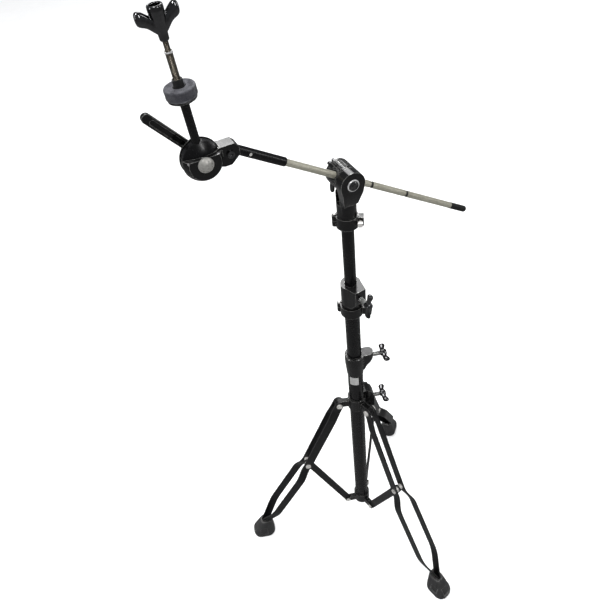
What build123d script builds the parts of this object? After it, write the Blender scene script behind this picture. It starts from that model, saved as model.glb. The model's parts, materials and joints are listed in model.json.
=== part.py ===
from build123d import *
from math import asin, cos, degrees, radians, sin
import os

# A folding three-legged cymbal boom stand, standing on the floor plane z = 0.
# The column stands on the Z axis. Headings are degrees about +Z, counted from +X.

# ---------------------------------------------------------------- clearances
running = 0.06          # shaft in a hole, per side
side_gap = 0.3          # between faces that pass each other

# ---------------------------------------------------------------- tubes
base_tube_radius = 14.3
base_tube_wall = 1.5
base_tube_length = 508.0
mid_tube_gap = 0.1                # mid tube in the base tube, per side
mid_tube_radius = base_tube_radius - base_tube_wall - mid_tube_gap
mid_tube_wall = 1.4
mid_tube_length = 426.0
mid_tube_out = 174.0            # how far it stands out of the base tube
upper_tube_gap = 1.775            # upper tube in the mid tube, per side
upper_tube_radius = mid_tube_radius - mid_tube_wall - upper_tube_gap
upper_tube_wall = 1.4
upper_tube_length = 374.0
upper_tube_out = 178.5          # how far it stands out of the mid tube
tube_seat = 2.0                 # thickness of the shoulder over a tube end
bushing_height = 20.0           # each bushing sits on a tube end, inside the clamp housing
bushing_relief = 0.6            # per side, where a housing passes the inner tube

# ---------------------------------------------------------------- tripod
leg_headings = (60.0, 180.0, 300.0)
leg_angle = 22.4                # upper leg from the vertical
knee_bend = 6.5                 # the lower leg spreads this much more
upper_leg = 207.6               # collar pin to knee pivot
lower_leg = 310.7               # knee pivot to the floor, along the leg
leg_pin_reach = 36.0            # leg pin from the column axis
stay_length = 212.0
stay_pin_reach = 34.0
strip_width = 18.0
strip_thickness = 2.8
stay_width = 16.0
stay_thickness = 3.0
spread_at_pin = 6.5             # strip centre from the leg's mid plane
spread_at_knee = 9.5
spread_of_loop = 20.5
jog_bend_radius = 20.0
upper_loop_radius = 55.0
lower_loop_radius = 110.0
pivot_pin_radius = 3.0
pin_head_radius = 5.6
pin_head_height = 2.6
spacer_radius = 6.0
fold_steps = 16                 # steps in working out the slot of the open pivot
foot_length = 51.0
foot_breadth = 40.0
foot_height = 52.0
foot_neck_length = 28.0
foot_neck_breadth = 22.0
foot_sole_reach = 247.0

# ---------------------------------------------------------------- cast collars
collar_wall = 3.2
leg_collar_height = 30.0
leg_collar_drop = 16.0          # collar bottom below the leg pins
leg_lug_radius = 8.0
boss_breadth = 20.0
leg_boss_reach = 33.0
leg_boss_height = 52.0
leg_screw_rise = 6.0            # clamp screw above the leg pins
foot_collar_height = 28.0
foot_collar_drop = 4.0          # collar bottom below the stay pins
stay_lug_radius = 7.0
stay_ear_thickness = 3.6

# ---------------------------------------------------------------- tube clamps
lower_clamp_height = 50.0
lower_clamp_wall = 3.3
lower_clamp_radius = base_tube_radius + lower_clamp_wall
lower_clamp_foot_wall = 1.1
lower_clamp_foot_radius = base_tube_radius + lower_clamp_foot_wall
lower_boss_reach = 34.0
lower_screw_drop = 12.0
upper_clamp_height = 46.0
upper_clamp_wall = 3.7
upper_clamp_radius = mid_tube_radius + upper_clamp_wall
upper_boss_reach = 26.0
upper_clamp_heading = -65.5
upper_screw_drop = 17.0
wing_screw_radius = 4.0
wing_span = 44.0
wing_lobe_radius = 6.5
wing_thickness = 7.0
wing_stand_off = 14.0           # boss face to wing hub
wing_hub_length = 10.0
label_height = 21.0
label_width = 16.0
label_thickness = 0.25
label_heading = -112.0
label_drop = 4.0                # label top below the lower clamp

# ---------------------------------------------------------------- memory locks
lock_height = 19.0
mid_lock_wall = 6.3
mid_lock_radius = mid_tube_radius + mid_lock_wall
mid_lock_ear_past = 14.0          # the ears stand out this much past the ring
mid_lock_ear_reach = mid_lock_radius + mid_lock_ear_past
mid_lock_heading = -22.0
top_lock_wall = 7.075
top_lock_radius = upper_tube_radius + top_lock_wall
top_lock_ear_past = 7.4
top_lock_ear_reach = top_lock_radius + top_lock_ear_past
top_lock_heading = -14.0
lock_ear_thickness = 6.0
lock_split = 1.2
key_screw_radius = 2.5

# ---------------------------------------------------------------- boom clamp
boom_heading = 197.5            # the cymbal end points this way
boom_slope = 33.5               # cymbal end up
clamp_pivot_rise = 61.0         # boom pivot above the top lock
neck_wall = 4.875
neck_radius = upper_tube_radius + neck_wall
rod_boss_wall = 3.0
rod_boss_rise = 0.8             # the rod's bosses stand this much out of the drum
drum_clearance = 3.0            # between the drum and the neck below it
rod_channel_gap = 1.0           # each side of the rod, where it dips into the neck
rod_channel_depth = 17.0
neck_sleeve_height = 24.0
neck_waist = 11.0               # half breadth under the cheek
drum_radius = 18.5
drum_back = 23.0                # tilting drum, behind the rod
drum_slot_count = 14
drum_slot_depth = 1.3
drum_slot_half = 1.1
cheek_thickness = 15.0          # fixed cheek of the neck, in front of the drum
eye_bolt_radius = 3.0
eye_ring_wall = 2.0
eye_ring_thickness = 8.0
eye_head_radius = 6.6
eye_head_height = 3.6
wing_nut_hub_radius = 6.0
nut_hub_length = 12.0
nut_short_lobe = 13.0
nut_long_lobe = 42.0

# ---------------------------------------------------------------- boom
rod_radius = 4.75
rod_up = 165.0                  # clamp pivot to the rod's cymbal end
rod_down = 250.0                # clamp pivot to the rod's free end
rod_groove_places = (47.7, 117.8)
rod_groove_width = 4.5
rod_groove_depth = 0.6
end_cap_lip = 0.25                # the cap is this much prouder than the rod
end_cap_radius = rod_radius + end_cap_lip
end_cap_length = 38.0
end_cap_past = 6.6                # cap beyond the end of the rod
end_cap_wall = 1.3
sleeve_start = 100.0
sleeve_length = 72.0
sleeve_wall = 1.25
sleeve_radius = rod_radius + sleeve_wall
set_screw_place = 153.0
set_screw_radius = 2.0
set_screw_sink = 0.3              # below the sleeve's surface

# ---------------------------------------------------------------- tilter
tilter_reach = 186.0            # tilter centre from the column axis, along the boom heading
tilter_rise = 97.0              # tilter centre above the clamp pivot
ball_radius = 25.4
ball_half_width = 16.0
hub_radius = 23.8
hub_half_width = 5.8
hub_edge_inset = 2.0            # the hub is thinner than its gap at the rim
hub_dome = 11.5                 # half width of the hub at its centre
washer_radius = 8.0
washer_thickness = 1.2
cheek_chord = 8.0               # the front cheek is cut flat this far above the centre
tilter_bolt_radius = 4.0
dome_radius = 9.6
dome_height = 5.0
block_top = 11.0
block_bottom = 15.0
block_half_width = 9.0
block_near = 20.0               # block from here to the next value, towards the column
block_past_ball = 19.6
block_far = ball_radius + block_past_ball
block_screw_past_ball = 7.6       # centre of the screw, from the side of the ball
block_screw_place = ball_radius + block_screw_past_ball
rib_groove_count = 3            # small grooves between ball and block
rib_groove_pitch = 3.2
rib_groove_depth = 1.2
block_screw_radius = 4.4
lever_length = 78.0
lever_angle = 51.5
lever_breadth = 11.5
lever_thickness = 6.0
lever_hub_radius = 9.0
lever_stand_off = 2.5           # ball to lever

# ---------------------------------------------------------------- cymbal post
post_lean = 3.0                 # outwards from the vertical
stem_radius = 5.2
stem_top = 71.0                 # all along the post, from the tilter centre
cup_height = 6.5
cup_radius = 16.5
felt_radius = 18.0
felt_thickness = 13.0
post_sleeve_radius = 5.8
post_sleeve_foot_radius = 6.4   # inside the felt
post_sleeve_top = 98.0
post_radius = 4.0
post_top = 128.0
post_socket = 14.0              # depth of the rod in the stem
stop_ring_radius = 4.8
stop_ring_height = 1.6
stud_radius = 3.0
stud_top = 160.0
wing_nut_bottom = 138.5
wing_nut_height = 35.0
wing_nut_span = 42.0
wing_nut_foot_radius = 5.0
wing_nut_mouth_radius = 8.4
top_lobe_radius = 8.2
top_lobe_thickness = 8.0
top_nut_turn = 12.0

# ---------------------------------------------------------------- heights that follow
knee_height = lower_leg * cos(radians(leg_angle + knee_bend))
knee_reach = leg_pin_reach + upper_leg * sin(radians(leg_angle))
leg_pin_height = knee_height + upper_leg * cos(radians(leg_angle))
stay_angle = degrees(asin((knee_reach - stay_pin_reach) / stay_length))
stay_pin_height = knee_height - stay_length * cos(radians(stay_angle))
floor_reach = knee_reach + lower_leg * sin(radians(leg_angle + knee_bend))

foot_collar_bottom = stay_pin_height - foot_collar_drop
base_tube_bottom = foot_collar_bottom + tube_seat
base_tube_top = base_tube_bottom + base_tube_length
mid_tube_top = base_tube_top + mid_tube_out
mid_tube_bottom = mid_tube_top - mid_tube_length
upper_tube_top = mid_tube_top + upper_tube_out
upper_tube_bottom = upper_tube_top - upper_tube_length

lower_clamp_top = base_tube_top + bushing_height + tube_seat
upper_clamp_top = mid_tube_top + bushing_height + tube_seat
lower_screw_height = lower_clamp_top - lower_screw_drop
upper_screw_height = upper_clamp_top - upper_screw_drop
leg_screw_height = leg_pin_height + leg_screw_rise
mid_lock_bottom = upper_clamp_top - upper_clamp_height - side_gap - lock_height
neck_bottom = upper_tube_top - neck_sleeve_height + tube_seat
top_lock_bottom = neck_bottom - side_gap - lock_height
clamp_pivot_height = neck_bottom + clamp_pivot_rise
collar_outer = base_tube_radius + collar_wall
eye_ring_outer = rod_radius + running + eye_ring_wall
drum_front = eye_ring_outer + side_gap
cheek_back = drum_front + side_gap
cheek_front = cheek_back + cheek_thickness
block_seat = block_near - 6.0

# local frames: x runs towards the cymbal, y towards the front, z up
boom_place = Pos(0, 0, clamp_pivot_height) * Rot(0, 0, boom_heading)
rod_place = boom_place * Rot(0, -boom_slope, 0)
tilter_place = boom_place * Pos(tilter_reach, 0, tilter_rise)
post_place = tilter_place * Rot(0, post_lean, 0)


# ---------------------------------------------------------------- shared shapes
def cylinder_between(radius, low, high):
    return Pos(0, 0, low) * extrude(Circle(radius), high - low)


def ring_between(outer, inner, low, high):
    return cylinder_between(outer, low, high) - cylinder_between(inner, low - 1, high + 1)


def box_between(low, high):
    size = [b - a for a, b in zip(low, high)]
    centre = [(a + b) / 2 for a, b in zip(low, high)]
    return Pos(*centre) * Box(*size)


def along_x(shape):
    """Lays a shape built up the Z axis down along +X."""
    return Rot(0, 90, 0) * shape


def along_y(shape):
    """Lays a shape built up the Z axis down along +Y, which is the front of the boom."""
    return Rot(-90, 0, 0) * shape


def bar_outline(start, end, width):
    """A flat bar with round ends, between two points of a sketch plane."""
    line = Vector(*end) - Vector(*start)
    middle = (Vector(*start) + Vector(*end)) / 2
    angle = Vector(1, 0, 0).get_signed_angle(line, Vector(0, 0, 1))
    return Pos(middle.X, middle.Y) * Rot(0, 0, angle) * SlotCenterToCenter(line.length, width)


def upright(sketch, low, high):
    """Extrudes a sketch, drawn as x and z, through y from low to high."""
    return Pos(0, high, 0) * Rot(90, 0, 0) * extrude(sketch, high - low)


def tube_piece(radius, wall, bottom, top):
    tube = ring_between(radius, radius - wall, bottom, top)
    rims = [e for e in tube.edges().filter_by(GeomType.CIRCLE) if e.radius > radius - wall / 2]
    return chamfer(rims, 0.4)


# ---------------------------------------------------------------- base
def base_tube():
    return tube_piece(base_tube_radius, base_tube_wall, base_tube_bottom, base_tube_top)


def foot_collar():
    """Closed cup at the bottom of the base tube, with a two-eared lug for each stay."""
    body = cylinder_between(collar_outer, foot_collar_bottom, foot_collar_bottom + foot_collar_height)
    ear_pair = upright(
        bar_outline((0, stay_pin_height), (stay_pin_reach, stay_pin_height), 2 * stay_lug_radius),
        -(stay_thickness / 2 + side_gap + stay_ear_thickness),
        stay_thickness / 2 + side_gap + stay_ear_thickness,
    )
    reach = stay_pin_reach + stay_lug_radius + 1
    gap_half = stay_thickness / 2 + side_gap
    gap_start = stay_pin_reach - stay_width / 2 - 2
    fork = box_between(
        (gap_start, -gap_half, foot_collar_bottom - 20), (reach, gap_half, stay_pin_height + 30)
    )
    pin_hole = upright(Pos(stay_pin_reach, stay_pin_height) * Circle(pivot_pin_radius), -20, 20)
    for heading in leg_headings:
        body += Rot(0, 0, heading) * ear_pair
    for heading in leg_headings:
        body -= Rot(0, 0, heading) * (fork + pin_hole)
    bore = cylinder_between(base_tube_radius, base_tube_bottom, base_tube_top)
    return body - bore


def stay_pins():
    """One riveted pin through each stay lug."""
    outer = stay_thickness / 2 + side_gap + stay_ear_thickness
    pin = upright(Circle(pivot_pin_radius), -outer, outer)
    head = upright(Circle(pin_head_radius - 1), outer, outer + 2)
    tail = upright(Circle(pin_head_radius - 1), -outer - 2, -outer)
    one = Pos(stay_pin_reach, 0, stay_pin_height) * (pin + head + tail)
    return [Rot(0, 0, heading) * one for heading in leg_headings]


def lower_clamp_housing():
    """Cast sleeve round the top of the base tube, with a boss for the wing screw."""
    bottom = lower_clamp_top - lower_clamp_height
    outline = Polyline(
        (0, bottom),
        (lower_clamp_foot_radius, bottom),
        (lower_clamp_radius, bottom + lower_clamp_height * 0.62),
        (lower_clamp_radius, lower_clamp_top - 1.2),
        (lower_clamp_radius - 1.2, lower_clamp_top),
        (0, lower_clamp_top),
        close=True,
    )
    body = revolve(Plane.XZ * make_face(outline), Axis.Z)
    boss_side = Polyline(
        (0, bottom + 11),
        (lower_clamp_foot_radius, bottom + 11),
        (lower_clamp_radius + 4, bottom + 24),
        (lower_boss_reach, bottom + 37),
        (lower_boss_reach, lower_clamp_top),
        (0, lower_clamp_top),
        close=True,
    )
    side = upright(make_face(boss_side), -boss_breadth / 2, boss_breadth / 2)
    top = Pos(0, 0, bottom) * extrude(
        bar_outline((0, 0), (lower_boss_reach - boss_breadth / 2, 0), boss_breadth), lower_clamp_height
    )
    body += side & top
    body -= cylinder_between(base_tube_radius, bottom - 1, lower_clamp_top - tube_seat)
    body -= cylinder_between(mid_tube_radius + bushing_relief, bottom, lower_clamp_top + 1)
    hole = Pos(0, 0, lower_screw_height) * along_x(cylinder_between(wing_screw_radius + running, 0, 60))
    return body - hole


def lower_bushing():
    """Nylon sleeve on the end of the base tube, which guides the mid tube."""
    top = base_tube_top + bushing_height
    return ring_between(base_tube_radius, mid_tube_radius + running, base_tube_top, top)


def blank_label():
    """Plain silver sticker, wrapped round the front of the base tube."""
    top = lower_clamp_top - lower_clamp_height - label_drop
    skin = ring_between(base_tube_radius + label_thickness, base_tube_radius, top - label_height, top)
    window = box_between((0, -label_width / 2, top - label_height), (30, label_width / 2, top))
    return Rot(0, 0, label_heading) * (skin & window)


# ---------------------------------------------------------------- leg collar
def leg_collar():
    """Sliding cast collar: a lug for each leg and a humped boss for the clamp screw."""
    bottom = leg_pin_height - leg_collar_drop
    body = cylinder_between(collar_outer, bottom, bottom + leg_collar_height)
    lug_half = spread_at_pin - strip_thickness / 2 - side_gap
    lug = upright(
        bar_outline((10, leg_pin_height - 3), (leg_pin_reach, leg_pin_height), 2 * leg_lug_radius),
        -lug_half,
        lug_half,
    )
    hump_top = bottom + leg_boss_height
    hump = Polyline(
        (0, bottom),
        (leg_boss_reach - 3, bottom),
        (leg_boss_reach, bottom + 4),
        (leg_boss_reach, hump_top - 20),
        (leg_boss_reach - 4, hump_top - 8),
        (leg_boss_reach - 11, hump_top - 1.5),
        (collar_outer, hump_top),
        (0, hump_top),
        close=True,
    )
    body += upright(make_face(hump), -boss_breadth / 2, boss_breadth / 2)
    for heading in leg_headings:
        body += Rot(0, 0, heading) * lug
    pin_hole = upright(Pos(leg_pin_reach, leg_pin_height) * Circle(pivot_pin_radius), -20, 20)
    for heading in leg_headings:
        body -= Rot(0, 0, heading) * pin_hole
    hole = Pos(0, 0, leg_screw_height) * along_x(cylinder_between(wing_screw_radius + running, 0, 60))
    bore = cylinder_between(base_tube_radius + running, bottom - 1, hump_top + 1)
    return body - hole - bore


def leg_pins():
    """One headed pin through each leg lug."""
    outer = spread_at_pin + strip_thickness / 2 + side_gap
    pin = upright(Circle(pivot_pin_radius), -outer, outer)
    head = upright(Circle(pin_head_radius), outer, outer + pin_head_height)
    tail = upright(Circle(pin_head_radius), -outer - pin_head_height, -outer)
    one = Pos(leg_pin_reach, 0, leg_pin_height) * (pin + head + tail)
    return [Rot(0, 0, heading) * one for heading in leg_headings]


# ---------------------------------------------------------------- legs and stays
def leg_points():
    """Leg pin, knee and the end inside the foot, as x and z in the leg's plane."""
    spread = radians(leg_angle + knee_bend)
    end_drop = lower_leg - 26
    end = (knee_reach + end_drop * sin(spread), knee_height - end_drop * cos(spread))
    return (leg_pin_reach, leg_pin_height), (knee_reach, knee_height), end


def leg_strip(side):
    """One of a leg's two flat strips: narrow at the lug, wide below the knee, closed in the foot."""
    pin, knee, end = leg_points()
    outline = bar_outline(pin, knee, strip_width) + bar_outline(knee, end, strip_width)
    flat = upright(outline, -60, 60)
    line = Vector(end[0] - pin[0], end[1] - pin[1])
    length = line.length
    knee_along = upper_leg
    closed = strip_thickness / 2 + 0.05
    centre_line = [
        (-20, spread_at_pin),
        (18, spread_at_pin),
        (44, spread_at_knee),
        (knee_along + 14, spread_at_knee),
        (knee_along + 42, spread_of_loop),
        (length - 92, spread_of_loop),
        (length - 30, closed),
        (length + 20, closed),
    ]
    half = strip_thickness / 2
    outer = [(x, y + half) for x, y in centre_line]
    inner = [(x, y - half) for x, y in reversed(centre_line)]
    ribbon = make_face(Polyline(*outer, *inner, close=True))
    for low, high, radius in (
        (0, knee_along, jog_bend_radius),
        (knee_along, length - 150, upper_loop_radius),
        (length - 100, length + 10, lower_loop_radius),
    ):
        ribbon = fillet([v for v in ribbon.vertices() if low < v.X < high], radius)
    axis = Vector(line.X, 0, line.Y).normalized()
    sheet_plane = Plane(origin=(pin[0], 0, pin[1]), x_dir=axis, z_dir=axis.cross(Vector(0, 1, 0)))
    ribbon_solid = extrude(sheet_plane * ribbon, 80, both=True)
    strip = flat & ribbon_solid
    for hole in (pin, knee):
        strip -= upright(Pos(*hole) * Circle(pivot_pin_radius + running), -60, 60)
    return strip if side > 0 else mirror(strip, Plane.XZ)


def leg_knee_bolt():
    """Bolt and nut across the knee, with domed heads."""
    outer = spread_at_knee + strip_thickness / 2
    shank = upright(Circle(pivot_pin_radius), -outer, outer)
    head = upright(Circle(pin_head_radius), outer, outer + pin_head_height)
    tail = upright(RegularPolygon(pin_head_radius, 6), -outer - pin_head_height, -outer)
    return Pos(knee_reach, 0, knee_height) * (shank + head + tail)


def leg_spacers():
    """Two plated tubes on the knee bolt, which hold the strips apart and leave room for the stay."""
    inner = stay_thickness / 2 + side_gap
    outer = spread_at_knee - strip_thickness / 2
    tube = upright(Circle(spacer_radius) - Circle(pivot_pin_radius + running), inner, outer)
    other = upright(Circle(spacer_radius) - Circle(pivot_pin_radius + running), -outer, -inner)
    place = Pos(knee_reach, 0, knee_height)
    return [place * tube, place * other]


def leg_foot():
    """Rubber foot: a broad rounded sole, narrowing to a neck that holds the ends of the strips."""
    spread = radians(leg_angle + knee_bend)
    neck_along = foot_height * 1.02 / cos(spread)
    neck_reach = floor_reach - neck_along * sin(spread)
    sole = Pos(foot_sole_reach, 0, 0) * RectangleRounded(foot_length, foot_breadth, foot_breadth * 0.42)
    waist = Pos(foot_sole_reach, 0, foot_height * 0.22) * RectangleRounded(
        foot_length, foot_breadth, foot_breadth * 0.42
    )
    neck = Pos(neck_reach, 0, foot_height) * RectangleRounded(foot_neck_length, foot_neck_breadth, 7)
    body = extrude(sole, foot_height * 0.22) + loft([waist.faces()[0], neck.faces()[0]])
    return body - leg_pocket() - leg_strip(1) - leg_strip(-1)


def leg_pocket():
    pin, knee, end = leg_points()
    start = (end[0] + (knee[0] - end[0]) * 0.2, end[1] + (knee[1] - end[1]) * 0.2)
    half = strip_thickness + 0.05
    return upright(bar_outline(start, end, strip_width), -half, half)


def knee_path():
    """Where the knee bolt runs along and across the stay, as leg and stay fold at a constant ratio."""
    open_leg = radians(leg_angle)
    open_stay = radians(stay_angle)
    folded_stay = asin((leg_pin_reach - stay_pin_reach) / stay_length)
    travel = upper_leg * (1 - cos(open_leg)) + stay_length * (cos(folded_stay) - cos(open_stay))
    path = []
    for step in range(fold_steps + 1):
        share = step / fold_steps
        leg = open_leg * (1 - share)
        bar = open_stay + (folded_stay - open_stay) * share
        out = leg_pin_reach + upper_leg * sin(leg) - stay_pin_reach
        rise = leg_pin_height + travel * share - upper_leg * cos(leg) - stay_pin_height
        path.append((out * sin(bar) + rise * cos(bar) - stay_length, out * cos(bar) - rise * sin(bar)))
    return path


def stay():
    """Flat bar from the foot collar to the knee, with a slot there as the open pivot."""
    start = (stay_pin_reach, stay_pin_height)
    end = (knee_reach, knee_height)
    bar = upright(bar_outline(start, end, stay_width), -stay_thickness / 2, stay_thickness / 2)
    slope = radians(stay_angle)
    outline = ShapeList()
    for along, across in knee_path():
        x = end[0] + along * sin(slope) + across * cos(slope)
        z = end[1] + along * cos(slope) - across * sin(slope)
        outline += (Pos(x, z) * Circle(pivot_pin_radius + side_gap)).edges()
    slot = upright(make_hull(outline), -10, 10)
    hole = upright(Pos(*start) * Circle(pivot_pin_radius + running), -10, 10)
    return bar - slot - hole


# ---------------------------------------------------------------- wing screws
def wing_screw(inner_end, boss_face):
    """Clamp screw along +X with a two-lobed wing; inner_end is where its tip stops."""
    hub_start = boss_face + wing_stand_off
    hub_end = hub_start + wing_hub_length
    shank = along_x(cylinder_between(wing_screw_radius, inner_end, hub_end))
    hub = along_x(cylinder_between(wing_screw_radius + 2.2, hub_start, hub_end + 1))
    reach = wing_span / 2 - wing_lobe_radius
    middle = (hub_start + hub_end) / 2
    wing = Circle(wing_lobe_radius)
    lobes = make_hull(wing.edges() + (Pos(2, reach) * wing).edges())
    lobes += make_hull(wing.edges() + (Pos(2, -reach) * wing).edges())
    plate = Pos(middle, 0, -wing_thickness / 2) * extrude(lobes, wing_thickness)
    return shank + hub + plate


def collar_wing_screw():
    return Pos(0, 0, leg_screw_height) * wing_screw(base_tube_radius + side_gap, leg_boss_reach)


def lower_wing_screw():
    return Pos(0, 0, lower_screw_height) * wing_screw(base_tube_radius + side_gap, lower_boss_reach)


def upper_wing_screw():
    screw = wing_screw(mid_tube_radius + side_gap, upper_boss_reach)
    return Pos(0, 0, upper_screw_height) * Rot(0, 0, upper_clamp_heading) * Rot(90, 0, 0) * screw


# ---------------------------------------------------------------- mid mast
def mid_tube():
    return tube_piece(mid_tube_radius, mid_tube_wall, mid_tube_bottom, mid_tube_top)


def upper_clamp_housing():
    """Cast cap round the top of the mid tube, with a flat-faced boss for the wing screw."""
    bottom = upper_clamp_top - upper_clamp_height
    body = cylinder_between(upper_clamp_radius, bottom, upper_clamp_top)
    side_outline = Polyline(
        (0, bottom + 6),
        (upper_clamp_radius, bottom + 6),
        (upper_boss_reach, bottom + 20),
        (upper_boss_reach, upper_clamp_top),
        (0, upper_clamp_top),
        close=True,
    )
    side = upright(make_face(side_outline), -boss_breadth, boss_breadth)
    plan = Polyline(
        (0, -upper_clamp_radius),
        (upper_boss_reach, -boss_breadth / 2),
        (upper_boss_reach, boss_breadth / 2),
        (0, upper_clamp_radius),
        close=True,
    )
    boss = side & (Pos(0, 0, bottom) * extrude(make_face(plan), upper_clamp_height))
    hole = Pos(0, 0, upper_screw_height) * along_x(cylinder_between(wing_screw_radius + running, 0, 60))
    body += boss
    body = Rot(0, 0, upper_clamp_heading) * (body - hole)
    body -= cylinder_between(mid_tube_radius, bottom - 1, upper_clamp_top - tube_seat)
    rim = cylinder_between(upper_tube_radius + bushing_relief, bottom, upper_clamp_top + 1)
    return body - rim


def upper_bushing():
    """Nylon sleeve on the end of the mid tube, which guides the upper tube."""
    top = mid_tube_top + bushing_height
    return ring_between(mid_tube_radius, upper_tube_radius + running, mid_tube_top, top)


# ---------------------------------------------------------------- memory locks
def memory_lock(tube_radius, outer_radius, ear_reach, heading, bottom):
    """Hinged ring clamp. Returns its fixed half, its hinged half, and its pin and key screw."""
    middle = bottom + lock_height / 2
    top = bottom + lock_height
    ring = cylinder_between(outer_radius, bottom, top)
    ear = box_between((0, 0, bottom + 2), (ear_reach, lock_ear_thickness, top - 2))
    knuckle_x = -outer_radius - 1.5
    knuckle_radius = 4.0
    knuckle = Pos(knuckle_x, 0, 0) * cylinder_between(knuckle_radius, bottom, top)
    pin = Pos(knuckle_x, 0, 0) * cylinder_between(1.6, bottom - 0.8, top + 0.8)
    upper_part = box_between((-60, -30, middle), (-outer_radius + 0.5, 30, top + 1))
    lower_part = box_between((-60, -30, bottom - 1), (-outer_radius + 0.5, 30, middle))
    bore = cylinder_between(tube_radius + running, bottom - 1, top + 1)
    half = lock_split / 2
    pin_bore = Pos(knuckle_x, 0, 0) * cylinder_between(1.6, bottom - 1, top + 1)
    screw_x = ear_reach - 5.0
    screw_hole = Pos(screw_x, 0, middle) * along_y(cylinder_between(key_screw_radius, -30, 30))

    back = (ring + ear) & box_between((-60, half, bottom - 1), (60, 60, top + 1))
    back += knuckle & upper_part
    front = (ring + mirror(ear, Plane.XZ)) & box_between((-60, -60, bottom - 1), (60, -half, top + 1))
    front += knuckle & (lower_part)
    front -= knuckle_clear(knuckle_x, knuckle_radius, middle, top)
    back -= knuckle_clear(knuckle_x, knuckle_radius, bottom, middle)
    place = Rot(0, 0, heading)
    fixed_half = place * (back - bore - pin_bore - screw_hole)
    hinged_half = place * (front - bore - pin_bore - screw_hole)
    screw = along_y(cylinder_between(key_screw_radius, -lock_ear_thickness - 9, lock_ear_thickness + 1))
    screw += along_y(Pos(0, 0, -lock_ear_thickness - 9) * extrude(Rectangle(7, 7), 6))
    screw = Pos(screw_x, 0, middle) * screw
    return fixed_half, hinged_half, [place * pin, place * screw]


def knuckle_clear(x, radius, low, high):
    return Pos(x, 0, 0) * cylinder_between(radius + 0.2, low, high)


def mid_memory_lock():
    return memory_lock(
        mid_tube_radius, mid_lock_radius, mid_lock_ear_reach, mid_lock_heading, mid_lock_bottom
    )


def top_memory_lock():
    return memory_lock(
        upper_tube_radius, top_lock_radius, top_lock_ear_reach, top_lock_heading, top_lock_bottom
    )


# ---------------------------------------------------------------- upper mast
def upper_tube():
    return tube_piece(upper_tube_radius, upper_tube_wall, upper_tube_bottom, upper_tube_top)


def boom_neck():
    """Cast neck on the upper tube, rising in front of the drum as its fixed cheek."""
    floor = neck_bottom - clamp_pivot_height
    shoulder = -drum_radius - drum_clearance
    waist = floor + neck_sleeve_height
    face = make_hull(
        Circle(drum_radius).edges() + (Pos(0, waist) * Rectangle(2 * neck_waist, 2)).edges()
    )
    side = Polyline(
        (cheek_back, drum_radius + 1),
        (cheek_front, drum_radius + 1),
        (cheek_front, shoulder + 6),
        (neck_radius, waist - 1),
        (0, waist - 1),
        (0, shoulder),
        (cheek_back, shoulder),
        close=True,
    )
    slab = upright(face, 0, cheek_front)
    depth = Rot(0, 0, 90) * upright(make_face(side), -30, 30)
    body = slab & depth
    body += cylinder_between(neck_radius, floor, shoulder)
    channel_floor = shoulder - rod_channel_depth
    channel_half = rod_radius + rod_channel_gap
    body -= box_between((-40, -channel_half, channel_floor), (40, channel_half, shoulder + 1))
    body -= along_y(cylinder_between(eye_bolt_radius + running, 0, 60))
    body = boom_place * body
    return body - cylinder_between(upper_tube_radius, neck_bottom - 1, upper_tube_top)


# ---------------------------------------------------------------- boom clamp
def clamp_drum():
    """Tilting drum with the hole for the rod and a pocket for the eye bolt."""
    drum = along_y(cylinder_between(drum_radius, -drum_back, drum_front))
    drum = chamfer(drum.edges().filter_by(GeomType.CIRCLE), 1.2)
    for index in range(drum_slot_count):
        slot = box_between(
            (drum_radius - drum_slot_depth, -drum_back + 4, -drum_slot_half),
            (drum_radius + 10, drum_front - 3.5, drum_slot_half),
        )
        angle = 360 / drum_slot_count * (index + 0.5)
        drum -= Rot(0, angle, 0) * slot
    belt = along_y(ring_between(drum_radius + 5, drum_radius - drum_slot_depth, -10.5, -8.0))
    drum -= belt
    tilt = Rot(0, -boom_slope, 0)
    boss_end = drum_radius + rod_boss_rise
    boss = tilt * along_x(cylinder_between(rod_radius + rod_boss_wall, -boss_end, boss_end))
    front_limit = box_between((-40, -40, -40), (40, drum_front - 0.5, 40))
    drum += boss & front_limit
    drum -= tilt * along_x(cylinder_between(rod_radius + running, -60, 60))
    pocket_half = eye_ring_thickness / 2 + side_gap
    pocket_reach = eye_ring_outer + side_gap
    pocket = box_between(
        (-pocket_half, -pocket_reach, -pocket_reach), (pocket_half, drum_front + 1, pocket_reach)
    )
    drum -= tilt * pocket
    drum -= along_y(cylinder_between(eye_bolt_radius, -60, 60))
    return boom_place * drum


def eye_bolt():
    """Bolt across the drum: its eye grips the rod, its head shows in front, its thread behind."""
    half = eye_ring_thickness / 2
    ring = along_x(ring_between(eye_ring_outer, rod_radius + running, -half, half))
    ring = Rot(0, -boom_slope, 0) * ring
    start = rod_radius + running + eye_ring_wall / 2
    head_face = cheek_front + side_gap
    front_shank = along_y(cylinder_between(eye_bolt_radius, start, head_face + 1))
    back_shank = along_y(cylinder_between(eye_bolt_radius, -drum_back - 22, -start))
    head = along_y(cylinder_between(eye_head_radius, head_face, head_face + eye_head_height))
    head = chamfer(head.edges().filter_by(GeomType.CIRCLE).sort_by(Axis.Y)[-1], 0.9)
    recess = along_y(ring_between(eye_head_radius - 1.6, eye_head_radius - 3.0, head_face + 2.6, head_face + 9))
    return boom_place * (ring + front_shank + back_shank + head - recess)


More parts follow.
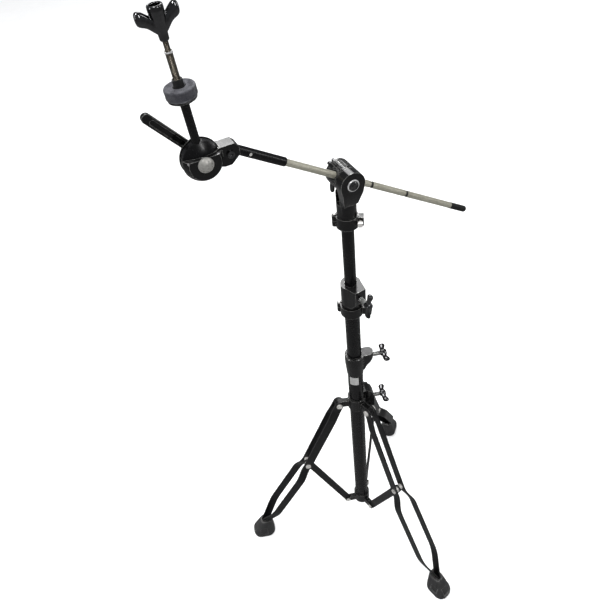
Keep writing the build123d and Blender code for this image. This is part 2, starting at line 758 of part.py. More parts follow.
def boom_wing_nut():
    """Nut behind the drum with a short upper lobe and a long lower one."""
    start = -drum_back - side_gap
    end = start - nut_hub_length
    hub = along_y(cylinder_between(wing_nut_hub_radius, end, start))
    wing = Circle(wing_lobe_radius)
    outline = make_hull(wing.edges() + (Pos(2, nut_short_lobe - wing_lobe_radius) * wing).edges())
    outline += make_hull(wing.edges() + (Pos(3, wing_lobe_radius - nut_long_lobe) * wing).edges())
    plate = Rot(0, 0, -90) * upright(outline, -wing_thickness / 2, wing_thickness / 2)
    plate = Pos(0, end, 0) * plate
    bore = along_y(cylinder_between(eye_bolt_radius + running, -90, 0))
    return boom_place * (hub + plate - bore)


# ---------------------------------------------------------------- boom
def boom_rod():
    """Knurled rod with two ring grooves and a turned-down end for its cap."""
    core = end_cap_radius - end_cap_wall
    cap_start = rod_down + end_cap_past - end_cap_length
    rod = along_x(cylinder_between(rod_radius, -cap_start, rod_up))
    rod += along_x(cylinder_between(core, -rod_down, -cap_start))
    for place in rod_groove_places:
        groove = ring_between(
            rod_radius + 2,
            rod_radius - rod_groove_depth,
            -place - rod_groove_width / 2,
            -place + rod_groove_width / 2,
        )
        rod -= along_x(groove)
    return rod_place * rod


def boom_end_cap():
    """Rubber cap with a round end."""
    cap_start = rod_down + end_cap_past - end_cap_length
    cap = along_x(cylinder_between(end_cap_radius, -cap_start - end_cap_length, -cap_start))
    cap = fillet(cap.edges().filter_by(GeomType.CIRCLE).sort_by(Axis.X)[0], end_cap_radius - 0.6)
    core = end_cap_radius - end_cap_wall
    return rod_place * (cap - along_x(cylinder_between(core, -rod_down, -cap_start + 1)))


def boom_sleeve():
    """Black sleeve over the cymbal end of the rod."""
    end = sleeve_start + sleeve_length
    sleeve = along_x(cylinder_between(sleeve_radius, sleeve_start, end))
    sleeve = chamfer(sleeve.edges().filter_by(GeomType.CIRCLE).sort_by(Axis.X)[0], 0.5)
    sleeve -= along_x(cylinder_between(rod_radius, sleeve_start - 1, rod_up))
    hole = Pos(set_screw_place, 0, 0) * along_y(cylinder_between(set_screw_radius, 0, 20))
    return rod_place * (sleeve - hole)


def sleeve_set_screw():
    screw = along_y(cylinder_between(set_screw_radius, rod_radius, sleeve_radius - set_screw_sink))
    return rod_place * Pos(set_screw_place, 0, 0) * screw


# ---------------------------------------------------------------- tilter
def hub_profile(grow):
    """The hub's half section: radius against place along the tilt axis."""
    rim = hub_radius + grow
    edge = hub_half_width - hub_edge_inset
    middle = (rim * 0.5, hub_dome + grow - (hub_dome + grow - edge) * 0.24)
    front = ThreePointArc((0, hub_dome + grow), middle, (rim, edge))
    wall = Line((rim, edge), (rim, -edge))
    back = ThreePointArc((rim, -edge), (middle[0], -middle[1]), (0, -hub_dome - grow))
    axis = Line((0, -hub_dome - grow), (0, hub_dome + grow))
    return front + wall + back + axis


def hub_solid(grow):
    return revolve(make_face(hub_profile(grow)), Axis.Y)


def hub_space():
    """What the cheeks leave clear for the hub and its two washers."""
    reach = hub_dome + side_gap + washer_thickness
    return hub_solid(side_gap) + along_y(cylinder_between(washer_radius, -reach, reach))


def ball_slice(low, high):
    ball = Sphere(ball_radius)
    return ball & box_between((-40, low, -40), (40, high, 40))


def tilter_yoke():
    """Block on the sleeve with the back cheek of the ball cast on it."""
    gap = hub_half_width + side_gap
    cheek = ball_slice(-ball_half_width, -gap)
    side = Polyline(
        (-block_seat, -block_bottom + 4),
        (-block_near - 4, -block_bottom),
        (-block_far + 12, -block_bottom),
        (-block_far, -block_bottom + 10),
        (-block_far, block_top - 5),
        (-block_far + 5, block_top),
        (-block_near, block_top),
        (-block_seat, block_top - 5),
        close=True,
    )
    block = upright(make_face(side), -block_half_width, block_half_width)
    arm_space = box_between((-40, -40, -40), (-block_seat, 40, cheek_chord))
    front_arm = ball_slice(gap, block_half_width) & arm_space
    clear = along_y(cylinder_between(hub_radius + 1, -gap, gap))
    body = block + cheek + front_arm - clear - hub_space()
    for index in range(rib_groove_count):
        rise = cheek_chord - rib_groove_pitch * (index + 0.5)
        top = box_between(
            (-block_far, block_half_width - rib_groove_depth, rise - rib_groove_pitch / 4),
            (-block_seat + 1, block_half_width + 1, rise + rib_groove_pitch / 4),
        )
        body -= top & box_between((-block_near - 4, -40, -40), (0, 40, 40))
    body -= along_y(cylinder_between(tilter_bolt_radius, -60, 60))
    body -= Pos(-block_screw_place, 0, -1) * along_y(cylinder_between(block_screw_radius - 1.4, -3, 60))
    body = tilter_place * body
    socket = along_x(cylinder_between(sleeve_radius, sleeve_start, sleeve_start + sleeve_length))
    return body - rod_place * socket


def tilter_front_cheek():
    """Half ball in front of the hub, cut flat above the bolt."""
    gap = hub_half_width + side_gap
    cheek = ball_slice(gap, ball_half_width)
    cheek &= box_between((-40, -40, -40), (40, 40, cheek_chord))
    cheek -= box_between((-40, 0, -40), (-block_seat, block_half_width, 40))
    cheek -= hub_space()
    cheek -= along_y(cylinder_between(tilter_bolt_radius, -60, 60))
    return tilter_place * cheek


def tilter_bolt():
    """Bolt on the tilt axis with a domed cap in front."""
    shank_end = -ball_half_width - lever_stand_off - lever_thickness - 5
    bolt = along_y(cylinder_between(tilter_bolt_radius, shank_end, ball_half_width + 1))
    ball = (dome_radius**2 + dome_height**2) / (2 * dome_height)
    dome = Pos(0, ball_half_width + dome_height - ball, 0) * Sphere(ball)
    dome &= box_between((-40, ball_half_width, -40), (40, 60, 40))
    rim = along_y(cylinder_between(dome_radius, ball_half_width, ball_half_width + 1))
    return tilter_place * (bolt + dome + rim)


def block_screw():
    """Socket screw that pinches the block on the sleeve."""
    head = along_y(cylinder_between(block_screw_radius, block_half_width, block_half_width + 3))
    socket = upright(RegularPolygon(2.3, 6), block_half_width + 1, block_half_width + 9)
    reach = sleeve_radius + 2 * side_gap
    shank = along_y(cylinder_between(block_screw_radius - 1.4, reach, block_half_width + 1))
    return tilter_place * Pos(-block_screw_place, 0, -1) * (head + shank - socket)


def friction_washers():
    """Two fibre washers let into the cheeks, one each side of the hub."""
    near = hub_dome + side_gap
    far = near + washer_thickness
    front = along_y(ring_between(washer_radius, tilter_bolt_radius, near, far))
    back = along_y(ring_between(washer_radius, tilter_bolt_radius, -far, -near))
    return [tilter_place * front, tilter_place * back]


def tilter_lever():
    """Long flat lever behind the ball, grooved along its face."""
    back = -ball_half_width - lever_stand_off
    plate = upright(
        bar_outline((0, 0), (lever_length - lever_breadth / 2, 0), lever_breadth), back - lever_thickness, back
    )
    groove = upright(
        bar_outline((20, 0), (lever_length - 14, 0), lever_breadth - 5), back - 1.2, back + 5
    )
    hub = along_y(cylinder_between(lever_hub_radius, back - lever_thickness - 3, back))
    lever = plate - groove + hub - along_y(cylinder_between(tilter_bolt_radius + running, -60, 0))
    return tilter_place * Rot(0, -lever_angle, 0) * lever


# ---------------------------------------------------------------- cymbal post
def post_stem():
    """Turned post: the domed hub and the thick stem, with a socket for the rod."""
    stem = cylinder_between(stem_radius, hub_dome, stem_top)
    bore = along_y(cylinder_between(tilter_bolt_radius + running, -60, 60))
    socket = cylinder_between(post_radius, stem_top - post_socket, stem_top + 1)
    return post_place * (hub_solid(0) + stem - bore - socket)


def post_rod():
    """Thinner rod set in the stem, ending in a threaded stud."""
    rod = cylinder_between(post_radius, stem_top - post_socket, post_top)
    stud = cylinder_between(stud_radius, post_top, stud_top)
    return post_place * (rod + stud)


def felt_cup():
    """Metal seat that flares from the stem to the felt."""
    outline = Polyline(
        (0, stem_top),
        (stem_radius + 3, stem_top),
        (cup_radius, stem_top + cup_height - 1.6),
        (cup_radius, stem_top + cup_height),
        (0, stem_top + cup_height),
        close=True,
    )
    cup = revolve(Plane.XZ * make_face(outline), Axis.Z)
    return post_place * (cup - cylinder_between(post_radius, 0, 200))


def felt_bottom():
    return stem_top + cup_height + side_gap


def cymbal_felt():
    low = felt_bottom()
    felt = ring_between(felt_radius, post_sleeve_foot_radius + side_gap, low, low + felt_thickness)
    rims = [e for e in felt.edges().filter_by(GeomType.CIRCLE) if e.radius > felt_radius - 1]
    return post_place * fillet(rims, 1.5)


def post_sleeve():
    """Plastic sleeve that centres the cymbal, on a wider foot inside the felt."""
    foot_low = stem_top + cup_height
    foot_top = felt_bottom() + felt_thickness
    foot = ring_between(post_sleeve_foot_radius, post_radius, foot_low, foot_top)
    return post_place * (foot + ring_between(post_sleeve_radius, post_radius, foot_top, post_sleeve_top))


def stop_ring():
    return post_place * ring_between(stop_ring_radius, post_radius, post_top - stop_ring_height, post_top)


def top_wing_nut():
    """Flared nut with two round lobes at its top."""
    top = wing_nut_bottom + wing_nut_height
    outline = Polyline(
        (0, wing_nut_bottom),
        (wing_nut_foot_radius, wing_nut_bottom),
        (wing_nut_foot_radius + 0.6, wing_nut_bottom + 10),
        (wing_nut_mouth_radius, top - 8),
        (wing_nut_mouth_radius, top - 3),
        (0, top - 3),
        close=True,
    )
    barrel = revolve(Plane.XZ * make_face(outline), Axis.Z)
    reach = wing_nut_span / 2 - top_lobe_radius
    lobe_height = top - top_lobe_radius
    foot = Pos(0, wing_nut_bottom + 13) * Circle(3)
    wing = make_hull((Pos(reach, lobe_height) * Circle(top_lobe_radius)).edges() + foot.edges())
    wing += make_hull((Pos(-reach, lobe_height) * Circle(top_lobe_radius)).edges() + foot.edges())
    plate = upright(wing, -top_lobe_thickness / 2, top_lobe_thickness / 2)
    mouth = cylinder_between(wing_nut_mouth_radius - 2.6, top - 6, top + 1)
    bore = cylinder_between(stud_radius + running, wing_nut_bottom - 1, stud_top + 2)
    return post_place * Rot(0, 0, top_nut_turn) * (barrel + plate - bore - mouth)


# ---------------------------------------------------------------- writing
def save(name, shape):
    solids = list(shape) if isinstance(shape, list) else [shape]
    found = [solid for piece in solids for solid in piece.solids()]
    result = found[0] if len(found) == 1 else Compound(children=found)
    result.label = name
    export_step(result, "parts/" + name + ".step")
    print(name, len(found), round(sum(s.volume for s in found), 1))


def write_all():
    os.makedirs("parts", exist_ok=True)
    pieces = {
        "base_tube": base_tube(),
        "foot_collar": foot_collar(),
        "stay_pins": stay_pins(),
        "lower_clamp_housing": lower_clamp_housing(),
        "lower_bushing": lower_bushing(),
        "blank_label": blank_label(),
        "leg_collar": leg_collar(),
        "leg_pins": leg_pins(),
        "collar_wing_screw": collar_wing_screw(),
        "lower_wing_screw": lower_wing_screw(),
        "mid_tube": mid_tube(),
        "upper_clamp_housing": upper_clamp_housing(),
        "upper_bushing": upper_bushing(),
        "upper_wing_screw": upper_wing_screw(),
        "upper_tube": upper_tube(),
        "boom_neck": boom_neck(),
        "clamp_drum": clamp_drum(),
        "eye_bolt": eye_bolt(),
        "boom_wing_nut": boom_wing_nut(),
        "boom_rod": boom_rod(),
        "boom_end_cap": boom_end_cap(),
        "boom_sleeve": boom_sleeve(),
        "sleeve_set_screw": sleeve_set_screw(),
        "tilter_yoke": tilter_yoke(),
        "tilter_front_cheek": tilter_front_cheek(),
        "tilter_bolt": tilter_bolt(),
        "block_screw": block_screw(),
        "friction_washers": friction_washers(),
        "tilter_lever": tilter_lever(),
        "post_stem": post_stem(),
        "post_rod": post_rod(),
        "felt_cup": felt_cup(),
        "cymbal_felt": cymbal_felt(),
        "post_sleeve": post_sleeve(),
        "stop_ring": stop_ring(),
        "top_wing_nut": top_wing_nut(),
    }
    for name, parts in (("mid_lock", mid_memory_lock()), ("top_lock", top_memory_lock())):
        pieces[name + "_fixed_half"] = parts[0]
        pieces[name + "_hinged_half"] = parts[1]
        pieces[name + "_fasteners"] = parts[2]
    leg_pieces = {
        "strip_a": leg_strip(1),
        "strip_b": leg_strip(-1),
        "knee_bolt": leg_knee_bolt(),
        "spacers": leg_spacers(),
        "foot": leg_foot(),
    }
    bar = stay()
    for number, heading in enumerate(leg_headings, 1):
        turn = Rot(0, 0, heading)
        for name, shape in leg_pieces.items():
            group = shape if isinstance(shape, list) else [shape]
            pieces[f"leg_{number}_{name}"] = [turn * piece for piece in group]
        pieces[f"stay_{number}"] = turn * bar
    for name, shape in pieces.items():
        save(name, shape)


write_all()
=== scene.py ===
import bpy
import bmesh
import json
import math
from mathutils import Matrix, Vector


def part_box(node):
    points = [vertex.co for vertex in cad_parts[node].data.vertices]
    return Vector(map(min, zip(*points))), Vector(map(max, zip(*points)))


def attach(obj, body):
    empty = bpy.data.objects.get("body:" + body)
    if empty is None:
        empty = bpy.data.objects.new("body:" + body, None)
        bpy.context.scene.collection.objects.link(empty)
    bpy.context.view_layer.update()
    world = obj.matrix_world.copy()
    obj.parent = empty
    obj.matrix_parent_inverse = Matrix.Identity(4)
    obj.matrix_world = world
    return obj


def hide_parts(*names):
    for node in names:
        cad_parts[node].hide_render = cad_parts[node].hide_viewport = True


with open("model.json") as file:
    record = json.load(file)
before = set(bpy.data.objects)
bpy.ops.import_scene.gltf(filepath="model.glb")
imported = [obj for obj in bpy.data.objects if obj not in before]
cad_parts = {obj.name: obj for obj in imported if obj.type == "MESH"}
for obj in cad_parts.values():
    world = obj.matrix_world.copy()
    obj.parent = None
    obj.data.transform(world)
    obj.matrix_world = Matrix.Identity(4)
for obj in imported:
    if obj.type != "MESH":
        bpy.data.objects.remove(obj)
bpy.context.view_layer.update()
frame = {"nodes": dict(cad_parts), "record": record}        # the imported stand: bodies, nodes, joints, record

nodes = frame["nodes"]
joints = {j["name"]: j for j in frame["record"]["behaviour"]["joints"]}
mm = 0.001
bodyOf = {n: body for body, held in frame["record"]["behaviour"]["bodies"].items() for n in held}
print("frame loaded")


# small tools

def calm():
    # leave edit mode and let go of everything
    if bpy.context.object and bpy.context.object.mode != "OBJECT":
        bpy.ops.object.mode_set(mode="OBJECT")
    bpy.ops.object.select_all(action="DESELECT")


def pick(piece):
    calm()
    piece.select_set(True)
    bpy.context.view_layer.objects.active = piece


def selectFaces(piece, test):
    # test gets a face's middle in millimetres and its normal
    bpy.ops.mesh.select_mode(type="FACE")
    bpy.ops.mesh.select_all(action="DESELECT")
    mesh = bmesh.from_edit_mesh(piece.data)
    for face in mesh.faces:
        face.select_set(bool(test(face.calc_center_median() / mm, face.normal)))
    bmesh.update_edit_mesh(piece.data)


def pull(piece, move, size):
    # extrude what is selected, then resize the new end about its own middle
    bpy.ops.mesh.extrude_region_move(TRANSFORM_OT_translate={"value": Vector(move) * mm})
    mesh = bmesh.from_edit_mesh(piece.data)
    chosen = [v.co for v in mesh.verts if v.select]
    middle = sum(chosen, Vector()) / len(chosen)
    bpy.ops.transform.resize(value=size, center_override=middle)


def addModifier(piece, kind, **values):
    pick(piece)
    modifier = piece.modifiers.new(kind.lower(), kind)
    for key, value in values.items():
        setattr(modifier, key, value)
    bpy.ops.object.modifier_apply(modifier=modifier.name)


def settle(piece, matrix):
    # put the piece in its place and leave the place in its mesh
    piece.matrix_world = matrix
    pick(piece)
    bpy.ops.object.transform_apply(location=True, rotation=True, scale=True)


def tidyMesh(piece):
    pick(piece)
    bpy.ops.object.mode_set(mode="EDIT")
    bpy.ops.mesh.select_all(action="SELECT")
    bpy.ops.mesh.remove_doubles(threshold=0.00001)
    bpy.ops.mesh.normals_make_consistent(inside=False)
    bpy.ops.object.mode_set(mode="OBJECT")


def smooth(piece, angle):
    pick(piece)
    bpy.ops.object.shade_smooth_by_angle(angle=math.radians(angle))


def joinInto(piece, *others):
    calm()
    for other in others:
        other.select_set(True)
    piece.select_set(True)
    bpy.context.view_layer.objects.active = piece
    bpy.ops.object.join()


def copyOf(piece, name):
    twin = piece.copy()
    twin.data = piece.data.copy()
    twin.name = name
    bpy.context.scene.collection.objects.link(twin)
    return twin


def looseCopy(name, newName):
    # a CAD node's shape as a piece of its own, free of its body
    piece = copyOf(nodes[name], newName)
    piece.parent = None
    piece.matrix_world = Matrix()
    return piece


def turnedTo(axis, side, place):
    # local x goes to axis, local y as near side as it can
    x = Vector(axis).normalized()
    z = x.cross(Vector(side)).normalized()
    turn = Matrix((x, z.cross(x), z)).transposed().to_4x4()
    return Matrix.Translation(Vector(place)) @ turn


def standOn(axis, side, place):
    # local z goes to axis, local x as near side as it can
    z = Vector(axis).normalized()
    y = z.cross(Vector(side)).normalized()
    turn = Matrix((y.cross(z), y, z)).transposed().to_4x4()
    return Matrix.Translation(Vector(place)) @ turn


def span(name, axis, place):
    # how far a node reaches along an axis, its radius about it, and the way its farthest point lies
    axis = Vector(axis).normalized()
    points = [v.co - Vector(place) for v in nodes[name].data.vertices]
    along = [p.dot(axis) for p in points]
    out = [p - axis * a for p, a in zip(points, along)]
    farthest = max(out, key=lambda p: p.length)
    return min(along) / mm, max(along) / mm, farthest.length / mm, farthest.normalized()


def lathe(name, outline, steps, hollow=False):
    # (radius, height) pairs in millimetres, spun about Z; a hollow outline comes back to its start
    first, bottom = outline[0]
    bpy.ops.mesh.primitive_circle_add(
        vertices=steps, radius=first * mm, location=(0, 0, bottom * mm),
        fill_type="NOTHING" if hollow else "NGON")
    piece = bpy.context.object
    piece.name = name
    bpy.ops.object.transform_apply(location=True)
    bpy.ops.object.mode_set(mode="EDIT")
    bpy.ops.mesh.select_mode(type="VERT")
    bpy.ops.mesh.select_all(action="SELECT")
    for (r0, z0), (r1, z1) in zip(outline, outline[1:]):
        scale = r1 / r0
        pull(piece, (0, 0, z1 - z0), (scale, scale, 1))
    bpy.ops.object.mode_set(mode="OBJECT")
    tidyMesh(piece)
    return piece


# camera, lights and floor

view = {
    "lens": 36.0, "sensor": 36.0, "far": 60,
    "place": (-0.12428, -0.68069, 1.43266),
    "right": (0.98283, -0.15631, -0.0979),
    "up": (0.17927, 0.6858, 0.7052),
}


def addCamera():
    data = bpy.data.cameras.new("standCamera")
    data.sensor_width = view["sensor"]
    data.lens = view["lens"]
    data.clip_end = view["far"]
    camera = bpy.data.objects.new("standCamera", data)
    bpy.context.scene.collection.objects.link(camera)
    right = Vector(view["right"])
    back = right.cross(Vector(view["up"])).normalized()
    up = back.cross(right).normalized()
    turn = Matrix((right.normalized(), up, back)).transposed().to_4x4()
    camera.matrix_world = Matrix.Translation(Vector(view["place"])) @ turn
    bpy.context.scene.camera = camera
    bpy.context.scene.view_settings.view_transform = "Standard"


# name, place, aim, width, height, power
panels = [
    ("ceilingPanel", (0.0, -0.2, 3.6), (0, 0, 0.5), 3.0, 2.4, 70),
    ("farPanel", (0.15, 2.9, 3.3), (0, 0, 0.8), 1.9, 1.3, 62),
    ("leftPanel", (-2.6, -0.9, 1.6), (0, 0, 0.7), 0.35, 2.2, 22),
    ("rightPanel", (2.6, -0.6, 2.0), (0, 0, 0.7), 0.3, 2.2, 18),
    ("topStrip", (-0.5, -0.9, 3.2), (0, 0, 0.9), 0.4, 0.8, 26),
    ("sideStrip", (1.3, -1.9, 2.2), (0, 0, 0.9), 0.25, 1.2, 16),
]
sky = {"power": 2.1, "width": 60, "tilt": (-16, -14, 0)}
airStrength = {"light": 0.30, "gloss": 0.20, "seen": 1.0}
airTint = (0.93, 0.96, 1.0, 1)
floorSheet = {"size": 14, "cuts": 8, "height": -0.0005}


def areaLight(name, place, aim, width, height, power):
    data = bpy.data.lights.new(name, "AREA")
    data.shape = "RECTANGLE"
    data.size = width
    data.size_y = height
    data.energy = power
    lamp = bpy.data.objects.new(name, data)
    bpy.context.scene.collection.objects.link(lamp)
    lamp.location = place
    lamp.rotation_euler = (Vector(aim) - Vector(place)).to_track_quat("-Z", "Y").to_euler()
    return lamp


def addSky():
    data = bpy.data.lights.new("softSky", "SUN")
    data.energy = sky["power"]
    data.angle = math.radians(sky["width"])
    sun = bpy.data.objects.new("softSky", data)
    bpy.context.scene.collection.objects.link(sun)
    sun.rotation_euler = [math.radians(t) for t in sky["tilt"]]
    sun.visible_glossy = False


def addAir():
    # pale all round for the light it gives, but dim in the gloss, so that the black lacquer stays black
    world = bpy.data.worlds.new("studioAir")
    bpy.context.scene.world = world
    world.use_nodes = True
    tree = world.node_tree
    air = tree.nodes["Background"]
    air.inputs["Color"].default_value = airTint
    rays = tree.nodes.new("ShaderNodeLightPath")
    strength = tree.nodes.new("ShaderNodeMapRange")
    strength.inputs["To Min"].default_value = airStrength["light"]
    strength.inputs["To Max"].default_value = airStrength["gloss"]
    tree.links.new(rays.outputs["Is Glossy Ray"], strength.inputs["Value"])
    seen = tree.nodes.new("ShaderNodeMapRange")
    tree.links.new(rays.outputs["Is Camera Ray"], seen.inputs["Value"])
    tree.links.new(strength.outputs["Result"], seen.inputs["To Min"])
    seen.inputs["To Max"].default_value = airStrength["seen"]
    tree.links.new(seen.outputs["Result"], air.inputs["Strength"])


addCamera()
lamps = {panel[0]: areaLight(*panel) for panel in panels}
lamps["ceilingPanel"].visible_glossy = False
addSky()
addAir()

bpy.ops.mesh.primitive_grid_add(
    x_subdivisions=floorSheet["cuts"], y_subdivisions=floorSheet["cuts"],
    size=floorSheet["size"], location=(0, 0, floorSheet["height"]))
floor = bpy.context.object
floor.name = "studioFloor"
bpy.ops.object.transform_apply(location=True)
print("camera, lights and floor ready")


# short ways to add shader nodes

def node(tree, kind, links=None, **values):
    made = tree.nodes.new(kind)
    for key, value in values.items():
        setattr(made, key, value)
    for key, value in (links or {}).items():
        socket = made.inputs[key]
        if isinstance(value, bpy.types.NodeSocket):
            tree.links.new(value, socket)
        else:
            socket.default_value = value
    return made


def maths(tree, kind, first, second=None, clamp=False):
    links = {0: first} if second is None else {0: first, 1: second}
    return node(tree, "ShaderNodeMath", links, operation=kind, use_clamp=clamp).outputs[0]


def ranged(tree, value, start=(0.0, 1.0), end=(0.0, 1.0)):
    links = {"Value": value, "From Min": start[0], "From Max": start[1], "To Min": end[0], "To Max": end[1]}
    return node(tree, "ShaderNodeMapRange", links).outputs["Result"]


def noiseOf(tree, scale, detail, roughness=0.5, distortion=0.0):
    place = node(tree, "ShaderNodeTexCoord")
    links = {"Vector": place.outputs["Object"], "Scale": scale, "Detail": detail}
    links.update({"Roughness": roughness, "Distortion": distortion})
    return node(tree, "ShaderNodeTexNoise", links).outputs["Fac"]


def bumpOf(tree, height, distance, strength=1.0):
    links = {"Height": height, "Distance": distance, "Strength": strength}
    return node(tree, "ShaderNodeBump", links).outputs["Normal"]


def aligned(tree, matrix):
    # object coordinates seen from a local frame, split into x, y and z
    place = node(tree, "ShaderNodeTexCoord")
    back = matrix.inverted()
    links = {"Vector": place.outputs["Object"]}
    links["Location"] = tuple(back.to_translation())
    links["Rotation"] = tuple(back.to_euler())
    local = node(tree, "ShaderNodeMapping", links)
    return node(tree, "ShaderNodeSeparateXYZ", {0: local.outputs["Vector"]}).outputs


# shader groups that several finishes share

def newGroup(name, inputs, outputs):
    group = bpy.data.node_groups.new(name, "ShaderNodeTree")
    for label, value in inputs.items():
        socket = group.interface.new_socket(name=label, in_out="INPUT", socket_type="NodeSocketFloat")
        socket.default_value = value
    for label, kind in outputs.items():
        group.interface.new_socket(name=label, in_out="OUTPUT", socket_type=kind)
    return group, group.nodes.new("NodeGroupInput").outputs, group.nodes.new("NodeGroupOutput").inputs


def groupMottle():
    # uneven polish: two sizes of noise between a low and a high value
    tree, given, out = newGroup(
        "unevenPolish", {"Scale": 60.0, "Low": 0.2, "High": 0.35},
        {"Value": "NodeSocketFloat", "Mask": "NodeSocketFloat"})
    coarse = noiseOf(tree, given["Scale"], 6.0, 0.62)
    fine = noiseOf(tree, maths(tree, "MULTIPLY", given["Scale"], 9.0), 3.0)
    mask = ranged(tree, maths(tree, "ADD", coarse, fine), (0.75, 1.25))
    tree.links.new(ranged(tree, mask, end=(given["Low"], given["High"])), out["Value"])
    tree.links.new(mask, out["Mask"])
    return tree


def groupEdge():
    # a mask of rubbed edges, from how far a rounded normal leans from the true one; on the rubber feet and the
    # felt it also lays a painted highlight along the rims
    tree, given, out = newGroup(
        "rubbedAndHighlitEdges", {"Radius": 0.0006, "Amount": 1.0}, {"Mask": "NodeSocketFloat"})
    eased = node(tree, "ShaderNodeBevel", {"Radius": given["Radius"]}, samples=4)
    true = node(tree, "ShaderNodeNewGeometry")
    both = {0: eased.outputs["Normal"], 1: true.outputs["Normal"]}
    lean = node(tree, "ShaderNodeVectorMath", both, operation="DOT_PRODUCT")
    mask = ranged(tree, lean.outputs["Value"], (0.985, 0.90))
    broken = ranged(tree, noiseOf(tree, 220.0, 5.0, 0.7), (0.38, 0.62))
    wornAndHighlit = maths(tree, "MULTIPLY", mask, broken)
    tree.links.new(maths(tree, "MULTIPLY", wornAndHighlit, given["Amount"], clamp=True), out["Mask"])
    return tree


def groupDustAndTopLight():
    # fine dust on what faces up; on the felt the same mask lays painted light from above on its top
    tree, given, out = newGroup("settledDustAndTopLight", {"Amount": 0.3}, {"Mask": "NodeSocketFloat"})
    true = node(tree, "ShaderNodeNewGeometry")
    parts = node(tree, "ShaderNodeSeparateXYZ", {0: true.outputs["Normal"]})
    facing = ranged(tree, parts.outputs["Z"], (0.35, 1.0))
    specks = ranged(tree, noiseOf(tree, 90.0, 8.0, 0.75), (0.42, 0.75))
    both = maths(tree, "MULTIPLY", facing, specks)
    tree.links.new(maths(tree, "MULTIPLY", both, given["Amount"], clamp=True), out["Mask"])
    return tree


def groupGrain():
    # a light bump of casting grain or orange peel
    tree, given, out = newGroup(
        "castGrain", {"Scale": 300.0, "Depth": 0.00003}, {"Normal": "NodeSocketVector"})
    tree.links.new(bumpOf(tree, noiseOf(tree, given["Scale"], 4.0), given["Depth"]), out["Normal"])
    return tree


polish = groupMottle()
rubbedAndLitEdges = groupEdge()
dustAndTopLight = groupDustAndTopLight()
grain = groupGrain()
print("shader groups ready")


def useGroup(tree, group, **values):
    made = tree.nodes.new("ShaderNodeGroup")
    made.node_tree = group
    for key, value in values.items():
        made.inputs[key].default_value = value
    return made.outputs


def startMaterial(name):
    material = bpy.data.materials.new(name)
    material.use_nodes = True
    tree = material.node_tree
    return material, tree, tree.nodes["Principled BSDF"]


def feed(tree, shader, **sources):
    # link sources to the shader's sockets: colour, rough, metal, normal
    labels = {"colour": "Base Color", "rough": "Roughness", "metal": "Metallic", "normal": "Normal"}
    for key, source in sources.items():
        tree.links.new(source, shader.inputs[labels[key]])


def mixColour(tree, mask, first, second):
    mix = tree.nodes.new("ShaderNodeMix")
    mix.data_type = "RGBA"
    for socket, value in ((mix.inputs[6], first), (mix.inputs[7], second)):
        if isinstance(value, bpy.types.NodeSocket):
            tree.links.new(value, socket)
        else:
            socket.default_value = (*value, 1)
    tree.links.new(mask, mix.inputs[0])
    return mix.outputs[2]


# lacquered, plated and moulded finishes: base colour, rubbed colour, wear, roughness from low to high,
# then what differs from the plain values

plain = {
    "coat": 0.0, "coatRough": 0.08, "metallic": 0.0, "dust": 0.25, "depth": 0.00002,
    "scale": 260.0, "radius": 0.0006, "specular": 0.5, "tone": 38.0, "dustColour": (0.17, 0.165, 0.155),
}
coats = {
    "tubeBlack": ((0.0018, 0.0018, 0.0020), (0.12, 0.12, 0.12), 0.3, 0.2, 0.3,
                  {"dust": 0.02, "depth": 0.000004, "specular": 0.25}),
    "castBlack": ((0.0014, 0.0014, 0.0015), (0.5, 0.5, 0.48), 0.9, 0.12, 0.24,
                  {"coat": 0.08, "dust": 0.05, "depth": 0.000012, "radius": 0.0011, "specular": 0.36}),
    "legBlack": ((0.0026, 0.0026, 0.0029), (0.16, 0.16, 0.16), 0.4, 0.3, 0.42,
                 {"dust": 0.03, "depth": 0.000006, "specular": 0.28}),
    "darkChrome": ((0.075, 0.075, 0.077), (0.7, 0.7, 0.7), 0.6, 0.05, 0.12,
                   {"metallic": 1.0, "dust": 0.05, "depth": 0.000004}),
    "zincSteel": ((0.46, 0.45, 0.43), (0.7, 0.7, 0.7), 0.5, 0.22, 0.42,
                  {"metallic": 0.5, "dust": 0.15, "depth": 0.00001}),
    "brightChrome": ((0.6, 0.6, 0.6), (0.8, 0.8, 0.8), 0.4, 0.1, 0.26,
                     {"metallic": 0.7, "dust": 0.1, "depth": 0.00001}),
    "blackNylon": ((0.006, 0.006, 0.006), (0.05, 0.05, 0.05), 0.2, 0.4, 0.6,
                   {"dust": 0.05, "specular": 0.3}),
    "capRubber": ((0.004, 0.004, 0.004), (0.04, 0.04, 0.04), 0.4, 0.45, 0.65,
                  {"dust": 0.1, "specular": 0.25}),
    "domeCap": ((0.24, 0.235, 0.22), (0.6, 0.6, 0.57), 0.8, 0.25, 0.45,
                {"metallic": 0.5, "dust": 0.35, "depth": 0.00006, "scale": 700.0}),
}


def coatedMetal(name, base, rub, wear, low, high, differing):
    # mottled polish, rubbed edges and dust over one base colour
    own = {**plain, **differing}
    material, tree, shader = startMaterial(name)
    tone = useGroup(tree, polish, Scale=own["tone"], Low=low, High=high)
    edge = useGroup(tree, rubbedAndLitEdges, Radius=own["radius"], Amount=wear)["Mask"]
    dust = useGroup(tree, dustAndTopLight, Amount=own["dust"])["Mask"]
    lift = [min(1, c * 1.5 + 0.0008) for c in base]
    body = mixColour(tree, tone["Mask"], base, lift)
    wornAndHighlit = mixColour(tree, edge, body, rub)
    feed(tree, shader,
         colour=mixColour(tree, dust, wornAndHighlit, own["dustColour"]),
         rough=maths(tree, "ADD", tone["Value"], dust, clamp=True),
         metal=maths(tree, "MAXIMUM", edge, own["metallic"]),
         normal=useGroup(tree, grain, Scale=own["scale"], Depth=own["depth"])["Normal"])
    shader.inputs["Coat Weight"].default_value = own["coat"]
    shader.inputs["Coat Roughness"].default_value = own["coatRough"]
    shader.inputs["Specular IOR Level"].default_value = own["specular"]
    return material
